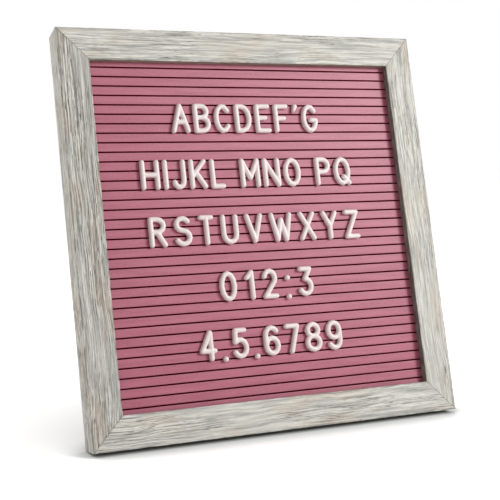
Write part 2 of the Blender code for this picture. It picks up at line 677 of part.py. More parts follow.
def make_screws(board, bracket, backing):
    """Four pan-head screws through the bracket into the backing board."""
    under_head = BRACKET_BACK + GAP
    tip = BACKING_FRONT + SCREW_TIP_COVER
    shoulder = under_head + SCREW_HEAD_HEIGHT * SCREW_HEAD_SHOULDER
    top = under_head + SCREW_HEAD_HEIGHT
    profile = [(0, tip), (SCREW_TIP_RADIUS, tip), (SCREW_RADIUS, tip + SCREW_TIP_RADIUS),
               (SCREW_RADIUS, under_head), (SCREW_HEAD_RADIUS, under_head), (SCREW_HEAD_RADIUS, shoulder),
               (SCREW_HEAD_RADIUS * SCREW_HEAD_CROWN, top), (0, top)]
    slot = box_mesh("drive_slot", (SCREW_HEAD_RADIUS * 3, SCREW_HEAD_HEIGHT, DRIVE_SLOT))
    heights = (BRACKET_ABOVE - SCREW_MARGIN, SCREW_MARGIN - BRACKET_BELOW)
    places = [(x, z) for z in heights for x in (-SCREW_SPREAD, SCREW_SPREAD)]
    for number, (x, z) in enumerate(places, start=1):
        at = (x, 0, PIVOT_HEIGHT + z)
        shape = turned("screw", profile, SMALL_STEPS)
        screw = piece(f"bracket_screw_{number}", shape, "zinc_steel", board, at, smooth=35)
        turn = (0, DRIVE_TURN * number, 0)
        cut(screw, cutter(f"drive_slot_{number}", slot, board, (x, top, PIVOT_HEIGHT + z), turn))
        hole = rod("screw_hole", SCREW_RADIUS + FIT, BACKING_FRONT - GAP, BRACKET_BACK + GAP, SMALL_STEPS)
        hole_cutter = cutter(f"screw_hole_{number}", hole, board, at)
        cut(bracket, hole_cutter)
        cut(backing, hole_cutter)


def leg_half_width(z):
    """Straight beside the bracket's ears, then widening to the foot. z is from the pin."""
    flare = (-z - EAR_HALF_HEIGHT) / (leg_below_pin() - EAR_HALF_HEIGHT)
    return (LEG_TOP_WIDTH + (LEG_FOOT_WIDTH - LEG_TOP_WIDTH) * min(1.0, max(0.0, flare))) / 2


def leg_below_pin(side=0):
    """From the pin down the leg to the floor, on its front (-1), middle (0) or back (1) face."""
    drop = pivot_in_world()[1] + side * LEG_THICKNESS / 2 * math.sin(LEG_TILT)
    return drop / math.cos(LEG_TILT)


def make_leg(board):
    """The wooden leg, its heel bevelled to lie on the bracket when open, its foot cut to the floor."""
    hinge = empty("leg_hinge", board, (0, PIVOT_BACK, PIVOT_HEIGHT), OPEN_ANGLE)
    half = LEG_THICKNESS / 2
    # The bevel stays HEEL_REACH from the pin, measured square to the bracket.
    bevel_end = (HEEL_TOP * math.sin(OPEN_ANGLE) - HEEL_REACH) / math.cos(OPEN_ANGLE)
    outline = fillet(
        [(-half, -leg_below_pin(-1)), (-half, -EAR_HALF_HEIGHT), (-half, HEEL_START), (bevel_end, HEEL_TOP),
         (half, HEEL_TOP), (half, -EAR_HALF_HEIGHT), (half, -leg_below_pin(1))],
        [0, 0, 0, 0, HEEL_ROUND, 0, 0],
    )
    mesh = swept_outline("stand_leg", outline, lambda y, z: -leg_half_width(z),
                         lambda y, z: leg_half_width(z), fold=-EAR_HALF_HEIGHT)
    leg = piece("stand_leg", mesh, "leg_wood", hinge)
    hole = rod("leg_bore", PIN_RADIUS + PIN_CLEARANCE, -LEG_TOP_WIDTH, LEG_TOP_WIDTH)
    cut(leg, cutter("leg_pin_bore", hole, hinge, turn=(0, 0, math.pi / 2)))


def make_pin(board):
    """A rivet through both ears and the leg, with a bevelled head at each end."""
    reach = EAR_OUTSIDE + GAP
    head = reach + PIN_HEAD_HEIGHT
    half_profile = [(0, -head), (PIN_HEAD_CROWN, -head), (PIN_HEAD_RADIUS, -reach - PIN_HEAD_HEIGHT / 2),
                    (PIN_HEAD_RADIUS, -reach), (PIN_RADIUS, -reach)]
    pin = turned("hinge_pin", half_profile + [(radius, -y) for radius, y in reversed(half_profile)])
    place = (0, PIVOT_BACK, PIVOT_HEIGHT)
    piece("hinge_pin", pin, "zinc_steel", board, place, (0, 0, math.pi / 2), smooth=35)


# Sawtooth hanger and its nails

def make_hanger(board, top_rail):
    """A strip stamped with teeth, its middle raised off the rail so that a nail can pass behind."""
    back = RAIL_DEPTH + GAP
    raised = back + HANGER_RISE
    half = HANGER_LENGTH / 2
    flat_end, slope_end = half - HANGER_FOOT, half - HANGER_FOOT - HANGER_SLOPE
    face = [(-half, back), (-flat_end, back), (-slope_end, raised), (slope_end, raised),
            (flat_end, back), (half, back)]
    section = face + [(x, y + HANGER_SHEET) for x, y in reversed(face)]
    # The strip's section lies in the XY plane, so it is swept along X first and then turned to stand.
    strip = swept_outline("sawtooth_hanger", [(y, -x) for x, y in section],
                          lambda y, z: -HANGER_HEIGHT / 2, lambda y, z: HANGER_HEIGHT / 2)
    centre = BOARD - (OUTER_TAPER + REBATE_WALL) / 2
    hanger = piece("sawtooth_hanger", strip, "zinc_steel", board, (0, 0, centre), (0, math.pi / 2, 0))

    # The teeth are what is left between notches cut up from the lower edge.
    below = HANGER_SHEET
    notch = [(-TOOTH_PITCH / 2, -below), (0, TOOTH_DEPTH), (TOOTH_PITCH / 2, -below)]
    count = math.floor(2 * slope_end / TOOTH_PITCH)
    for number in range(count):
        x = (number - (count - 1) / 2) * TOOTH_PITCH
        wedge = plate_mesh("notch", notch, raised - GAP, raised + 2 * HANGER_SHEET)
        at = (x, 0, centre - HANGER_HEIGHT / 2)
        cut(hanger, cutter(f"tooth_notch_{number + 1}", wedge, board, at))

    under_head = back + HANGER_SHEET + GAP
    tip = under_head - NAIL_LENGTH
    profile = [(0, tip), (NAIL_RADIUS, tip + 2 * NAIL_RADIUS), (NAIL_RADIUS, under_head),
               (NAIL_HEAD_RADIUS, under_head), (NAIL_HEAD_RADIUS, under_head + NAIL_HEAD_HEIGHT),
               (0, under_head + NAIL_HEAD_HEIGHT)]
    for number, side in enumerate((-1, 1), start=1):
        at = (side * (half - HANGER_FOOT / 2), 0, centre)
        nail = turned("nail", profile, SMALL_STEPS)
        piece(f"hanger_nail_{number}", nail, "zinc_steel", board, at, smooth=35)
        bore = rod("nail_bore", NAIL_RADIUS + FIT, tip - GAP, under_head, SMALL_STEPS)
        bore_cutter = cutter(f"nail_bore_{number}", bore, board, at)
        cut(hanger, bore_cutter)
        cut(top_rail, bore_cutter)


# Where the board stands

def board_lift():
    """How high the board's front bottom edge is held, as it stands on its rounded back one."""
    return max(y * math.sin(LEAN) - z * math.cos(LEAN) for y, z in rail_section())


def pivot_in_world():
    """(Y, Z) of the leg's pin from the leaning board's front bottom edge, with the floor at Z = 0."""
    y = PIVOT_BACK * math.cos(LEAN) + PIVOT_HEIGHT * math.sin(LEAN)
    z = PIVOT_HEIGHT * math.cos(LEAN) - PIVOT_BACK * math.sin(LEAN)
    return y, z + board_lift()


def board_origin():
    """Puts the footprint's middle, from the board's front edge to the back of the foot, at Y = 0."""
    front = min(y * math.cos(LEAN) + z * math.sin(LEAN) for y, z in rail_section())
    pin_y = pivot_in_world()[0]
    heel = LEG_THICKNESS / 2 * math.cos(LEG_TILT) + leg_below_pin(1) * math.sin(LEG_TILT)
    return (0, -(front + pin_y + heel) / 2, board_lift())


def main():
    clear_scene()
    board = empty("board_frame", None, board_origin(), -LEAN)
    rails = make_frame(board)
    backing = make_panel(board)
    make_characters(board)
    make_bracket(board, backing)
    make_leg(board)
    make_pin(board)
    make_hanger(board, rails["rail_top"])


main()
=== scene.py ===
# %% [markdown]
# # Felt letter board
# A square wooden frame holds a sheet of pink felt that is folded into rows of slots. Plastic
# characters have small tabs on their backs, and the tabs push into the slots. This script dresses
# the fixed model of that board: it adds the worn whitewash, the soft folds of the felt, the moulded
# look of the characters, the lights and the camera.

import json
import math

import bmesh
import bpy
from mathutils import Matrix, Vector, noise

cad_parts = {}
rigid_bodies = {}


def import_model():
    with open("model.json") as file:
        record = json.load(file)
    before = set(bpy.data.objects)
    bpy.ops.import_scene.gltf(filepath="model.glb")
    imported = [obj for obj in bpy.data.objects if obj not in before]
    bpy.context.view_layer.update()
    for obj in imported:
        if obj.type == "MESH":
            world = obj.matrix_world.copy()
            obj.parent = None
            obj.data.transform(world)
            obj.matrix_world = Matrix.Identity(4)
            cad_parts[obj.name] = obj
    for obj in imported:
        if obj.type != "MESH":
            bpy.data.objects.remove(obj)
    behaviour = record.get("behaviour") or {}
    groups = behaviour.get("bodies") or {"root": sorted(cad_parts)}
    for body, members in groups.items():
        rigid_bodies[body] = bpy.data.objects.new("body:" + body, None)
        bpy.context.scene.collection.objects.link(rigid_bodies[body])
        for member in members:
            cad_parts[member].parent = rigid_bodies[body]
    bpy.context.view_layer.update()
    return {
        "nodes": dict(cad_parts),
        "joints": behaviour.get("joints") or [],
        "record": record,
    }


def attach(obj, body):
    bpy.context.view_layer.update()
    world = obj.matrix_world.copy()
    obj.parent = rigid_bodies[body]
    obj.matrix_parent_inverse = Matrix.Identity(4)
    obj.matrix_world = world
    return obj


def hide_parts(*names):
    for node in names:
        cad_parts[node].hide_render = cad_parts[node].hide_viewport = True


for leftover in list(bpy.data.objects):
    bpy.data.objects.remove(leftover)
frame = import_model()
nodes = frame["nodes"]

# %% [markdown]
# ## The board's own axes
# The board leans back, so nothing on it lies along the world's Y or Z. It is far easier to model it
# upright and to lean each finished mesh back at the end. The record states the directions of two
# flat faces: the frame's back gives the lean, and the bottom rail's underside gives the taper of
# the frame's outer faces. All is measured from the corner where that underside would meet the front.

# %% Upright axes, and back again
MM = 0.001
RAILS = ("rail_bottom", "rail_left", "rail_top", "rail_right")

mounts = {m["name"]: m for m in frame["record"]["mounts"]}
back_axis = mounts["wall_face"]["axis"]
lean = math.atan2(-back_axis[2], back_axis[1])
upright = Matrix.Rotation(lean, 4, "X")
rail_points = [upright @ v.co for name in RAILS for v in nodes[name].data.vertices]
front = min(p.y for p in rail_points)
underside = upright @ Vector(mounts["shelf_edge"]["pos_m"])
outward = upright @ Vector(mounts["shelf_edge"]["axis"])
taper = math.atan2(outward.y, -outward.z)
front_edge = Vector((0, front, underside.z - (underside.y - front) * math.tan(taper)))
board_place = upright.inverted() @ Matrix.Translation(front_edge)


def board_box(name):
    """The lowest and highest corners of a node, in the board's upright axes."""
    points = [board_place.inverted() @ v.co for v in nodes[name].data.vertices]
    low = Vector(min(p[i] for p in points) for i in range(3))
    high = Vector(max(p[i] for p in points) for i in range(3))
    return low, high


rail_depth = board_box("rail_bottom")[1].y
rail_width = board_box("rail_bottom")[1].z
board = board_box("rail_top")[1].z + board_box("rail_bottom")[0].z
print(f"lean {math.degrees(lean):.2f} degrees, taper {math.degrees(taper):.2f} degrees")
print(f"frame {board / MM:.1f} mm square and {rail_depth / MM:.1f} mm deep")

# %% [markdown]
# ## Helpers for pieces
# A finished mesh needs its finish, the body that it moves with and the node that it stands for. A
# shape made with modifiers has to become plain geometry first, so that every tool sees the same mesh.


# %% Pieces and meshes
def new_piece(name, mesh, finishes, body="board", stands_for=(), smooth=40):
    """A finished mesh in the world's axes becomes a piece of the object."""
    finishes = finishes if isinstance(finishes, list) else [finishes]
    numbers = [0] * len(mesh.polygons)
    mesh.polygons.foreach_get("material_index", numbers)
    mesh.materials.clear()  # this also sets every face's number back to 0
    for finish in finishes:
        mesh.materials.append(finish)
    mesh.polygons.foreach_set("material_index", [min(n, len(finishes) - 1) for n in numbers])
    mesh.shade_smooth()
    mesh.set_sharp_from_angle(angle=math.radians(smooth))
    piece = bpy.data.objects.new(name, mesh)
    bpy.context.scene.collection.objects.link(piece)
    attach(piece, body)
    if stands_for:
        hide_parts(*stands_for)
    return piece


def applied(source, name):
    """The mesh of an object with its modifiers, as plain geometry. The object is then removed."""
    bpy.context.view_layer.update()
    graph = bpy.context.evaluated_depsgraph_get()
    mesh = bpy.data.meshes.new_from_object(source.evaluated_get(graph))
    mesh.name = name
    bpy.data.objects.remove(source)
    return mesh


def in_scene(name, mesh):
    """A plain object for a mesh, linked so that its modifiers can be worked out."""
    source = bpy.data.objects.new(name, mesh)
    bpy.context.scene.collection.objects.link(source)
    return source


def plain_mesh(work, name):
    """Turns a bmesh into a mesh and frees it."""
    mesh = bpy.data.meshes.new(name)
    work.to_mesh(mesh)
    work.free()
    return mesh


def merged_copy(node_name):
    """A copy of a node's loose triangles, merged into a closed skin with its flat faces whole."""
    work = bmesh.new()
    work.from_mesh(nodes[node_name].data)
    bmesh.ops.remove_doubles(work, verts=work.verts, dist=0.001 * MM)
    bmesh.ops.dissolve_limit(work, angle_limit=math.radians(1), verts=work.verts, edges=work.edges)
    return in_scene(node_name + "_source", plain_mesh(work, node_name))


print("frame's front edge at", [round(value / MM, 1) for value in front_edge], "mm")

# %% [markdown]
# ## Helpers for node trees
# One function adds a node to any tree, for materials and for Geometry Nodes alike. The others are
# the few steps that every finish here is made of: noise stretched to a real size in millimetres, a
# band of that noise turned into a share, and two colours mixed by that share.


# %% Nodes, colours and finishes
def add(tree, kind, wires=None, **settings):
    """Adds a node. wires gives its inputs, by name or number, each a value or another node's output."""
    made = tree.nodes.new(kind)
    for name, value in settings.items():
        setattr(made, name, value)
    for key, value in (wires or {}).items():
        if isinstance(value, bpy.types.NodeSocket):
            tree.links.new(value, made.inputs[key])
        else:
            made.inputs[key].default_value = value
    return made


def linear(hex_colour):
    """An sRGB hex colour as linear red, green, blue and an alpha of 1."""
    parts = [int(hex_colour[i:i + 2], 16) / 255 for i in (1, 3, 5)]
    return (*(p / 12.92 if p <= 0.04045 else ((p + 0.055) / 1.055) ** 2.4 for p in parts), 1.0)


def maths(tree, operation, *values):
    return add(tree, "ShaderNodeMath", dict(enumerate(values)), operation=operation).outputs[0]


def vector_maths(tree, operation, *values):
    return add(tree, "ShaderNodeVectorMath", dict(enumerate(values)), operation=operation).outputs[0]


def level(tree, value, low, high, to_low=0.0, to_high=1.0):
    """Stretches the band from low to high over to_low to to_high. Values outside it are held."""
    return add(tree, "ShaderNodeMapRange", {"Value": value, "From Min": low, "From Max": high,
                                            "To Min": to_low, "To Max": to_high}).outputs[0]


def mixed(tree, share, first, second):
    """A colour that goes from first to second as the share goes from 0 to 1. Either can be a hex."""
    ends = [linear(end) if isinstance(end, str) else end for end in (first, second)]
    return add(tree, "ShaderNodeMix", {0: share, 6: ends[0], 7: ends[1]}, data_type="RGBA").outputs[2]


def stretched_noise(tree, place, size_mm, detail, roughness=0.5):
    """Cloudy noise round 0.5, whose clouds are about size_mm along each axis of place."""
    scaled = vector_maths(tree, "MULTIPLY", place, [1 / mm for mm in size_mm])
    return add(tree, "ShaderNodeTexNoise", {"Vector": scaled, "Scale": 1.0, "Detail": detail,
                                            "Roughness": roughness}).outputs["Fac"]


def new_finish(name, turn=(0.0, 0.0, 0.0), start_mm=(0.0, 0.0, 0.0)):
    """A new material, its tree, and the object's own coordinates in millimetres, turned and moved."""
    made = bpy.data.materials.new(name)
    made.use_nodes = True
    tree = made.node_tree
    spot = add(tree, "ShaderNodeTexCoord").outputs["Object"]
    turned = add(tree, "ShaderNodeMapping", {"Vector": spot, "Rotation": turn}).outputs[0]
    return made, tree, vector_maths(tree, "MULTIPLY_ADD", turned, (1000,) * 3, start_mm)


def complete(made, colour, height, strength, depth, settings):
    """Gives a new material its colour, its relief and the other inputs of its shader."""
    tree = made.node_tree
    shader = tree.nodes["Principled BSDF"]
    bump = add(tree, "ShaderNodeBump", {"Height": height, "Strength": strength, "Distance": depth})
    tree.links.new(colour, shader.inputs["Base Color"])
    tree.links.new(bump.outputs[0], shader.inputs["Normal"])
    for name, value in settings.items():
        shader.inputs[name].default_value = value
    return made


def seen_directly(tree):
    """1 where the camera, a reflection or a clear surface looks, and 0 for light on its way."""
    rays = add(tree, "ShaderNodeLightPath").outputs
    direct = maths(tree, "MAXIMUM", rays["Is Camera Ray"], rays["Is Glossy Ray"])
    return maths(tree, "MAXIMUM", direct, rays["Is Transmission Ray"])


print("middle grey #808080 is", round(linear("#808080")[0], 3), "in linear light")

# %% [markdown]
# ## Finish: whitewashed wood
# The rails are softwood under a thin coat of off-white paint that was brushed on and rubbed back.
# The paint stays on the flats and has gone from the raised grain, so long streaks of bare grey and
# brown wood show along each rail, with short dark checks. One picture of wood could not run round
# four rails, so the grain is built from stretched noise, turned to run along each rail.

# %% Whitewashed wood
PAINT_WHITE, PAINT_GREY, PAINT_WARM = "#DCDAD0", "#ABABA6", "#C5B5A4"
BARE_GREY, BARE_BROWN, OPEN_CHECK = "#84827C", "#8C7969", "#453F39"
RIDGE_WHITE, GRAIN_LINE, EDGE_BARE = "#EDEBE3", "#6C6962", "#7C776C"
# The size of each pattern along a rail, into it and across it, in millimetres.
STREAK_MM, FIBRE_MM, HAIR_MM = (34.0, 2.0, 1.4), (9.0, 0.8, 0.42), (30.0, 0.9, 0.36)
CALM_MM, PATCH_MM, WARMTH_MM = (75.0, 16.0, 12.0), (36.0, 14.0, 7.0), (34.0, 10.0, 8.0)
CHECK_MM, KNOCK_MM = (8.0, 0.8, 0.45), (12.0, 60.0, 60.0)
BARE_TO_MM, PAINTED_FROM_MM = 0.6, 1.3  # distances from a front edge
SWAY_LENGTH_MM, SWAY_MM = 60.0, (0.0, 3.0, 6.0)
WOOD_BUMP, PAINT_RELIEF, RAW_RELIEF = 0.6, 0.24 * MM, 0.15 * MM


def swayed(tree, place):
    """Grain never runs quite straight, so its pattern is first pushed sideways by a slow noise."""
    sway = add(tree, "ShaderNodeTexNoise", {"Vector": place, "Scale": 1 / SWAY_LENGTH_MM, "Detail": 1.0})
    return vector_maths(tree, "MULTIPLY_ADD", sway.outputs["Color"], SWAY_MM, place)


def front_edge_mm(tree):
    """How far the nearest front edge is: in from the outer or the inner one, plus back from it."""
    spot = add(tree, "ShaderNodeTexCoord").outputs["Object"]
    place = add(tree, "ShaderNodeMapping", {"Vector": spot, "Rotation": (lean, 0.0, 0.0)}).outputs[0]
    part = add(tree, "ShaderNodeSeparateXYZ", {0: vector_maths(tree, "SUBTRACT", place, tuple(front_edge))})
    sideways = maths(tree, "ABSOLUTE", part.outputs["X"])
    upwards = maths(tree, "ABSOLUTE", maths(tree, "SUBTRACT", part.outputs["Z"], board / 2))
    out = maths(tree, "MAXIMUM", sideways, upwards)
    off_middle = maths(tree, "ABSOLUTE", maths(tree, "SUBTRACT", out, (board - rail_width) / 2))
    inwards = maths(tree, "SUBTRACT", rail_width / 2, off_middle)
    return maths(tree, "MULTIPLY", maths(tree, "ADD", inwards, part.outputs["Y"]), 1000.0)


def whitewashed_wood(name, turn, start_mm, wear):
    """Brushed and rubbed paint on softwood. wear is the share of it that is rubbed bare."""
    made, tree, place = new_finish(name, turn, start_mm)
    along = swayed(tree, place)

    def grain(size_mm, detail, roughness=0.55):
        return stretched_noise(tree, along, size_mm, detail, roughness)

    def times(first, second):
        return maths(tree, "MULTIPLY", first, second)

    # Each pair of numbers is the band of noise over which one look gives way to the next.
    streaks, fibres, hairs = grain(STREAK_MM, 4.0), grain(FIBRE_MM, 3.0, 0.65), grain(HAIR_MM, 2.0)
    warmth = grain(WARMTH_MM, 1.0)
    paint = mixed(tree, level(tree, streaks, 0.38, 0.60), PAINT_GREY, PAINT_WHITE)
    paint = mixed(tree, level(tree, warmth, 0.52, 0.70, 0.0, 0.5), paint, PAINT_WARM)
    bare = mixed(tree, level(tree, warmth, 0.42, 0.60), BARE_GREY, BARE_BROWN)
    # In calm places the paint lies thick and even, and little of the pattern shows.
    busy = level(tree, grain(CALM_MM, 1.0), 0.44, 0.58, 0.2 + 0.5 * wear, 1.0)
    patches = level(tree, grain(PATCH_MM, 2.0), 0.36, 0.62, 0.25 + 0.5 * wear, 0.6 + 0.4 * wear)
    worn_places = times(busy, patches)
    rubbed = times(level(tree, fibres, 0.58 - 0.18 * wear, 0.68 - 0.18 * wear), worn_places)
    # The brush left long white ridges of paint, and between them the grain shows as dark lines.
    ridges = times(level(tree, hairs, 0.46, 0.40, 0.0, 0.75), busy)
    colour = mixed(tree, ridges, mixed(tree, rubbed, paint, bare), RIDGE_WHITE)
    colour = mixed(tree, times(level(tree, hairs, 0.55, 0.61), worn_places), colour, GRAIN_LINE)
    # Short dark checks have opened along the grain, most of them where the paint is thin.
    open_grain = level(tree, grain(CHECK_MM, 1.0), 0.64 - 0.04 * wear, 0.69 - 0.04 * wear)
    checks = times(open_grain, worn_places)
    colour = mixed(tree, checks, colour, OPEN_CHECK)
    # The front edges take every knock, so there the paint has gone in short lengths.
    knocked = times(level(tree, grain(KNOCK_MM, 2.0), 0.44, 0.56), 0.35 + 0.5 * wear)
    near_edge = level(tree, front_edge_mm(tree), PAINTED_FROM_MM, BARE_TO_MM)
    colour = mixed(tree, times(near_edge, knocked), colour, EDGE_BARE)
    # Streaks and fibres stand up from the wood, checks and the hairs between ridges lie in it.
    height = maths(tree, "SUBTRACT", streaks, checks)
    height = maths(tree, "MULTIPLY_ADD", fibres, 0.7, height)
    height = maths(tree, "MULTIPLY_ADD", hairs, -0.8, height)
    return complete(made, colour, height, WOOD_BUMP, PAINT_RELIEF, {"Roughness": 0.7})


def raw_wood(name, turn, start_mm, dark, pale):
    """The unpainted faces that the felt and the backing hide, greyed by dust and age."""
    made, tree, place = new_finish(name, turn, start_mm)
    fibres = stretched_noise(tree, swayed(tree, place), FIBRE_MM, 3.0, 0.65)
    colour = mixed(tree, level(tree, fibres, 0.40, 0.60), dark, pale)
    return complete(made, colour, fibres, WOOD_BUMP, RAW_RELIEF, {"Roughness": 0.8})


# %% [markdown]
# ### A finish for each rail
# Every rail has its own start in the pattern, so no two look alike, and its own wear. The left one is
# rubbed most. The walls just above the felt are raw wood. On the left and right rails they are darker
# still, which is painted shade for that narrow recess, and the rebate behind them is lighter raw wood.

# %% Rail finishes
ALONG_X = (lean, 0.0, 0.0)
ALONG_BOARD = (lean, math.pi / 2, 0.0)
RAW_DARK, RAW_PALE = "#6F6258", "#9A8C7E"
# The inner walls of the left and right rails: raw wood with painted shade, darker than the rest.
WALL_RAW_AND_SHADE_DARK, WALL_RAW_AND_SHADE_PALE = "#565048", "#8C877C"

rail_finish = {
    "rail_bottom": whitewashed_wood("whitewashed_pine_bottom", ALONG_X, (430, 10, 210), 0.30),
    "rail_left": whitewashed_wood("whitewashed_pine_left", ALONG_BOARD, (-100, 90, 380), 0.80),
    "rail_top": whitewashed_wood("whitewashed_pine_top", ALONG_X, (700, 30, 70), 0.35),
    "rail_right": whitewashed_wood("whitewashed_pine_right", ALONG_BOARD, (-40, 45, 190), 0.42),
}
raw_level = raw_wood("raw_pine_across", ALONG_X, (10, 5, 80), RAW_DARK, RAW_PALE)
raw_back = raw_wood("raw_pine_upright", ALONG_BOARD, (25, 5, 130), RAW_DARK, RAW_PALE)
raw_wall_with_shade = raw_wood("raw_pine_inner_walls_painted_shade", ALONG_BOARD, (60, 5, 20), WALL_RAW_AND_SHADE_DARK, WALL_RAW_AND_SHADE_PALE)
raw_finish = {"rail_bottom": [raw_level, raw_level], "rail_top": [raw_level, raw_level],
              "rail_left": [raw_wall_with_shade, raw_back], "rail_right": [raw_wall_with_shade, raw_back]}
print("finishes for", ", ".join(rail_finish))

# %% [markdown]
# ## The rails
# Each rail is one length of moulding, mitred at both ends. A bare extrusion has edges that are too
# straight to be wood, so the rail is swept here with many short steps along its length, and its
# points are then moved by a fraction of a millimetre: long shallow waves on the flats, and small
# dents where the front edges have been knocked. The section and the mitres are the frame's own.

# %% Rails with worn edges
STEP = 2.0 * MM  # along a rail
MITRE_GAP = 0.2 * MM
OUTER_ARRIS, INNER_ARRIS, BACK_ARRIS = 0.4 * MM, 0.5 * MM, 0.6 * MM
ARC_POINTS = 5
FRONT_GAP, BACK_GAP = 0.8 * MM, 1.2 * MM  # between points round the section
FELT_PLAY = 0.3 * MM  # between the felt panel and the rebate
WAVE, DENT = 0.10 * MM, 0.40 * MM  # the most that a flat or an edge is moved
WAVE_SIZE = (30 * MM, 5 * MM, 3 * MM)
DENT_LENGTH, DENT_ACROSS = 5 * MM, 20 * MM
DENT_SHARE = 0.15  # noise below this leaves an edge whole
EDGE_ZONE = 1.0 * MM  # how far from an edge a knock reaches

felt_low, felt_high = board_box("felt_face")
lip = felt_low.y - FELT_PLAY
rebate = felt_low.z - FELT_PLAY


def arc(y, radius, start, turn):
    """Points round an edge whose rounding has its centre at depth y, clockwise with Z up and Y to the
    right. An outer edge's centre also lies one radius in from the tapered outer face."""
    z = (radius + y * math.sin(taper)) / math.cos(taper)
    angles = [math.radians(start) - turn * i / ARC_POINTS for i in range(ARC_POINTS + 1)]
    return [(y + radius * math.cos(a), z + radius * math.sin(a)) for a in angles]


def spread(start, end, gap):
    """Points between two corners, without the corners themselves."""
    count = max(1, round(math.dist(start, end) / gap))
    return [tuple(start[k] + (end[k] - start[k]) * i / count for k in (0, 1)) for i in range(1, count)]


def rail_section():
    """The bottom rail's points, as (y, z) from the frame's front bottom edge: painted ones, the others
    behind them, and how many of its faces are raw."""
    square = math.pi / 2
    outer = arc(OUTER_ARRIS, OUTER_ARRIS, 270 + math.degrees(taper), square + taper)
    inner = [(INNER_ARRIS * (1 - math.cos(a)), rail_width + INNER_ARRIS * (math.sin(a) - 1))
             for a in (square * i / ARC_POINTS for i in range(ARC_POINTS + 1))]
    back = arc(rail_depth - BACK_ARRIS, BACK_ARRIS, 360, square - taper)
    painted = outer + spread(outer[-1], inner[0], FRONT_GAP) + inner[:-1]
    raw = [inner[-1], (lip, rail_width), (lip, rebate), (rail_depth, rebate)]
    return painted, raw + back + spread(back[-1], outer[0], BACK_GAP), len(raw) + 1


def face_finish(number, painted_count, raw_count):
    """0 for a painted face, 1 for the raw wall above the felt, 2 for the raw rebate behind it."""
    behind_paint = number - painted_count + 1
    if not 0 <= behind_paint < raw_count:
        return 0
    return 1 if behind_paint < 2 else 2


def wear_vertex(vert, seed):
    """Moves a point of the seen faces in by a little: waves on flats, dents along the two front edges."""
    x, y, z = vert.co
    if y > lip - 1 * MM and z > rail_depth * math.tan(taper) + 1 * MM:
        return
    long, deep, across = WAVE_SIZE
    depth = WAVE * (0.5 + 0.5 * noise.noise(Vector((x / long, y / deep + seed, z / across))))
    near_edge = min(math.hypot(y, z), math.hypot(y, z - rail_width))
    if near_edge < EDGE_ZONE:
        knock = noise.noise(Vector((x / DENT_LENGTH, seed, z / DENT_ACROSS)))
        depth += DENT * max(0.0, knock - DENT_SHARE) / (1 - DENT_SHARE)
    vert.co -= vert.normal * depth


def rail_mesh(seed):
    """The bottom rail, swept along X and cut at 45 degrees at both ends."""
    painted, behind, raw_count = rail_section()
    section = painted + behind
    trim = MITRE_GAP / 2 * math.sqrt(2)
    steps = round(board / STEP)
    work = bmesh.new()
    rings = []
    for step in range(steps + 1):
        reach = [(board / 2 - z - trim) * (2 * step / steps - 1) for y, z in section]
        rings.append([work.verts.new((x, y, z)) for x, (y, z) in zip(reach, section)])
    count = len(section)
    for near, far in zip(rings, rings[1:]):
        for i in range(count):
            j = (i + 1) % count
            face = work.faces.new((near[i], near[j], far[j], far[i]))
            face.material_index = face_finish(i, len(painted), raw_count)
    for ring in (rings[0], rings[-1]):
        work.faces.new(ring).material_index = 2
    bmesh.ops.recalc_face_normals(work, faces=work.faces)
    work.normal_update()
    for ring in rings[1:-1]:
        for vert in ring:
            wear_vertex(vert, seed)
    return plain_mesh(work, "rail")


for turns, name in enumerate(RAILS):
    mesh = rail_mesh(seed=10.0 * turns)
    centre = Matrix.Translation((0, 0, board / 2))
    mesh.transform(centre @ Matrix.Rotation(math.pi / 2 * turns, 4, "Y") @ centre.inverted())
    mesh.transform(board_place)
    new_piece("worn_" + name, mesh, [rail_finish[name], *raw_finish[name]],
              stands_for=(name,))
print("rails swept with", sum(len(part) for part in rail_section()[:2]), "points round the section")

# %% [markdown]
# ## Finish: pressed felt
# Felt is wool or polyester fibre pressed into a sheet. It has no weave. What the eye gets is a dead
# matt surface, a faint cloudiness where the fibres lie thicker, and a soft light rim where the
# fibres stand up, which the shader's sheen gives. Single fibres are about 0.02 mm thick, too fine
# to show, so the fuzz is drawn at 0.5 mm.

# %% Pink felt
CLOUD_MM, FUZZ_MM = (30.0, 4.0, 2.5), (0.5, 0.5, 0.5)
FUZZ_RELIEF = 0.2 * MM
SHEEN_PINK = "#F0C4CE"


def felt_finish(name, deep, middle, light, gloss, sheen):
    """Felt in three close shades: thin places, thick places and the fibres that stand up."""
    made, tree, place = new_finish(name)
    cloud = stretched_noise(tree, place, CLOUD_MM, 3.0)
    fuzz = stretched_noise(tree, place, FUZZ_MM, 4.0, 0.7)
    base = mixed(tree, level(tree, cloud, 0.35, 0.65), deep, middle)
    colour = mixed(tree, level(tree, fuzz, 0.45, 0.75), base, light)
    return complete(made, colour, fuzz, 0.3, FUZZ_RELIEF, {
        "Roughness": 0.45, "Specular IOR Level": gloss, "Sheen Weight": sheen, "Sheen Roughness": 0.5,
        "Sheen Tint": linear(SHEEN_PINK)})


pink_felt = felt_finish("pressed_pink_felt", "#9B475B", "#AB586C", "#BB6A7E", 0.50, 0.22)
# In the slots the felt gets a far deeper colour and neither gloss nor sheen: painted shade for the
# depths of the slots.
slot_shade_felt = felt_finish("slot_shade_pink_felt", "#840B25", "#8E112C", "#981A37", 0.0, 0.0)
print("felts:", pink_felt.name, "and", slot_shade_felt.name)

# %% [markdown]
# ## The felt sheet
# One sheet of felt covers the whole panel and dips into every slot of the core behind it. Drawing
# 38 slots by hand would be 38 chances for a mistake. So one fold is modelled, from the middle of a
# ridge to the middle of the next, and Geometry Nodes repeat it up the board, weld the copies into
# one sheet and let its surface wander by a few hundredths of a millimetre, as felt does.

